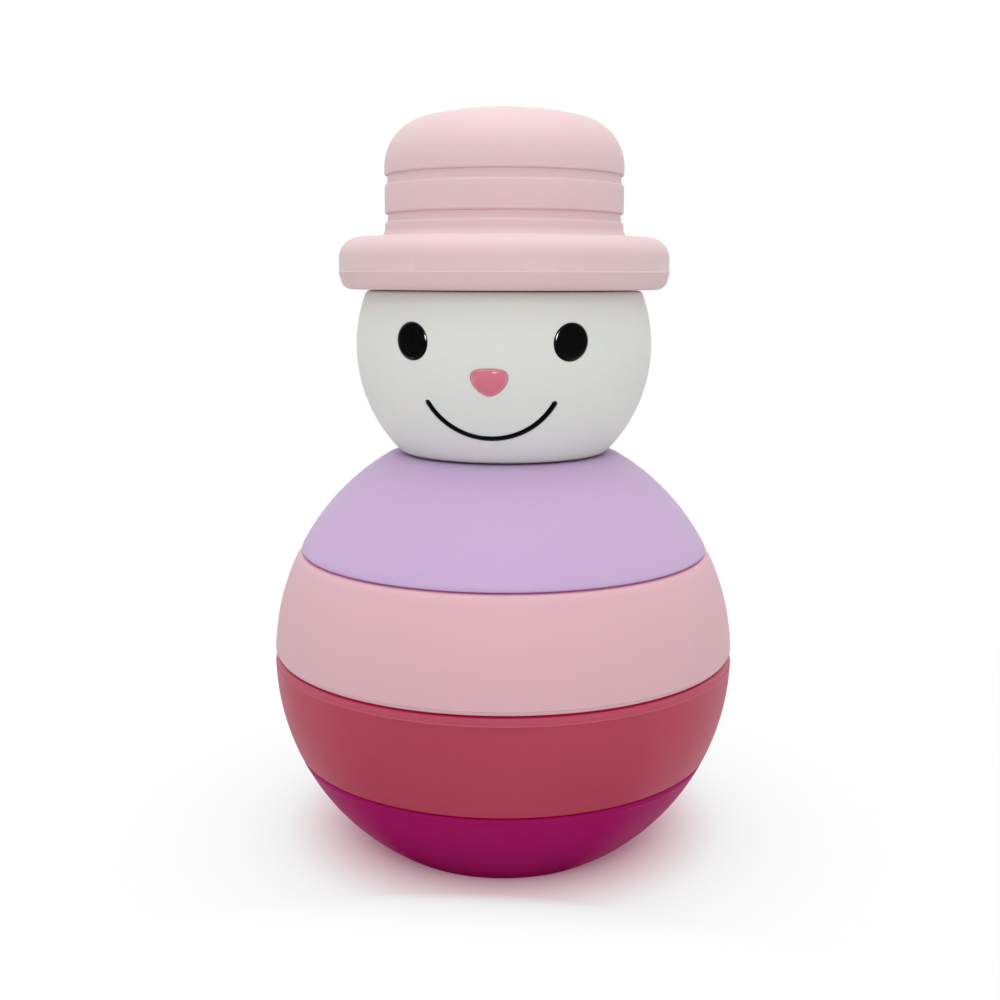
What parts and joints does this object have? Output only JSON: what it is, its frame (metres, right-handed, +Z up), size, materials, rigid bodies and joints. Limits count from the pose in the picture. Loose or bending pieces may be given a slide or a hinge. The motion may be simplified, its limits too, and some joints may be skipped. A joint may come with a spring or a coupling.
{
  "type": "stacking toy",
  "caption": "Soft snowman stacking toy: layered ball body, white head with an inlaid face and a grooved bowler hat, each piece lifting off a round plug.",
  "frame": {"origin": "middle of the flat foot, on the surface that the toy stands on", "axes": "+Z up along the stack, -Y towards the side that the face looks at, +X to the right as seen facing the face"},
  "size_m": [0.09, 0.09, 0.1422],
  "materials": {
    "magenta_silicone": "matte moulded silicone",
    "rose_silicone": "matte moulded silicone",
    "pale_pink_silicone": "matte moulded silicone",
    "lavender_silicone": "matte moulded silicone",
    "white_silicone": "matte moulded silicone",
    "black_inlay": "glossy silicone inlay",
    "pink_inlay": "glossy silicone inlay",
    "hat_pink_silicone": "matte moulded silicone"
  },
  "bodies": {
    "base": {"base_bowl": "magenta_silicone"},
    "lower_ring": {"lower_ring": "rose_silicone"},
    "upper_ring": {"upper_ring": "pale_pink_silicone"},
    "dome": {"upper_dome": "lavender_silicone"},
    "head": {"head": "white_silicone", "left_eye": "black_inlay", "right_eye": "black_inlay", "nose": "pink_inlay", "smile": "black_inlay"},
    "hat": {"hat": "hat_pink_silicone"}
  },
  "joints": [
    {"name": "lower_ring_lift", "type": "slide", "parent": "base", "child": "lower_ring", "axis": [0, 0, 1], "range_m": [0, 0.03]},
    {"name": "upper_ring_lift", "type": "slide", "parent": "lower_ring", "child": "upper_ring", "axis": [0, 0, 1], "range_m": [0, 0.03]},
    {"name": "dome_lift", "type": "slide", "parent": "upper_ring", "child": "dome", "axis": [0, 0, 1], "range_m": [0, 0.03]},
    {"name": "head_lift", "type": "slide", "parent": "dome", "child": "head", "axis": [0, 0, 1], "range_m": [0, 0.03]},
    {"name": "hat_lift", "type": "slide", "parent": "head", "child": "hat", "axis": [0, 0, 1], "range_m": [0, 0.03]}
  ]
}
